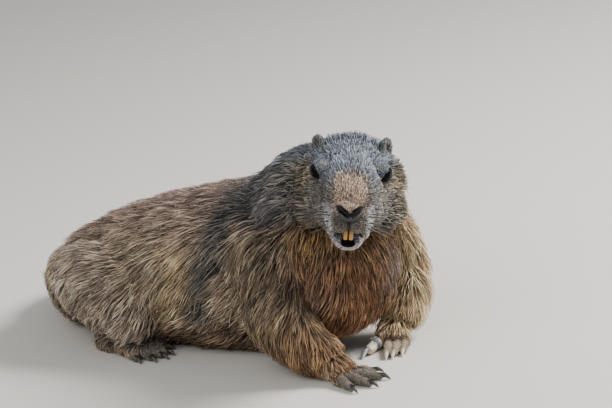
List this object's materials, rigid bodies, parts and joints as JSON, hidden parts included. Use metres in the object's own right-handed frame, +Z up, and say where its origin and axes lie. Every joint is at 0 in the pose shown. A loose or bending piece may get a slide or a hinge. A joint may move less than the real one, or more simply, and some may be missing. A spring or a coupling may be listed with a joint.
{
  "type": "alpine marmot",
  "caption": "Life-size alpine marmot lying on its belly, chest raised on the forelegs and head turned to its right, mouth a little open.",
  "frame": {"origin": "under the middle of the whole animal, on the floor it rests on", "axes": "+Z up; +Y from the head end to the tail end, along the trunk; +X to the animal's own left"},
  "size_m": [0.2202, 0.453, 0.1873],
  "materials": {
    "coat_back": "long rough coat",
    "coat_neck": "long rough coat",
    "coat_head": "short dense coat",
    "coat_muzzle": "short dense coat",
    "coat_leg": "rough coat",
    "coat_tail": "bushy coat",
    "paw": "thin short hair over skin",
    "nose_skin": "moist bare skin",
    "eye": "wet and glossy",
    "tooth": "smooth enamel",
    "claw": "smooth horn"
  },
  "bodies": {
    "root": {"torso": "coat_back", "neck": "coat_neck", "head": "coat_head", "lower_jaw": "coat_muzzle", "nose": "nose_skin", "tail": "coat_tail", "ear_left": "coat_head", "eye_left": "eye", "incisor_left": "tooth", "foreleg_left": "coat_leg", "hindleg_left": "coat_back", "forepaw_left": "paw", "hindpaw_left": "paw", "forepaw_left_claw_1": "claw", "forepaw_left_claw_2": "claw", "forepaw_left_claw_3": "claw", "forepaw_left_claw_4": "claw", "hindpaw_left_claw_1": "claw", "hindpaw_left_claw_2": "claw", "hindpaw_left_claw_3": "claw", "hindpaw_left_claw_4": "claw", "hindpaw_left_claw_5": "claw", "ear_right": "coat_head", "eye_right": "eye", "incisor_right": "tooth", "foreleg_right": "coat_leg", "hindleg_right": "coat_back", "forepaw_right": "paw", "hindpaw_right": "paw", "forepaw_right_claw_1": "claw", "forepaw_right_claw_2": "claw", "forepaw_right_claw_3": "claw", "forepaw_right_claw_4": "claw", "hindpaw_right_claw_1": "claw", "hindpaw_right_claw_2": "claw", "hindpaw_right_claw_3": "claw", "hindpaw_right_claw_4": "claw", "hindpaw_right_claw_5": "claw"}
  },
  "joints": []
}
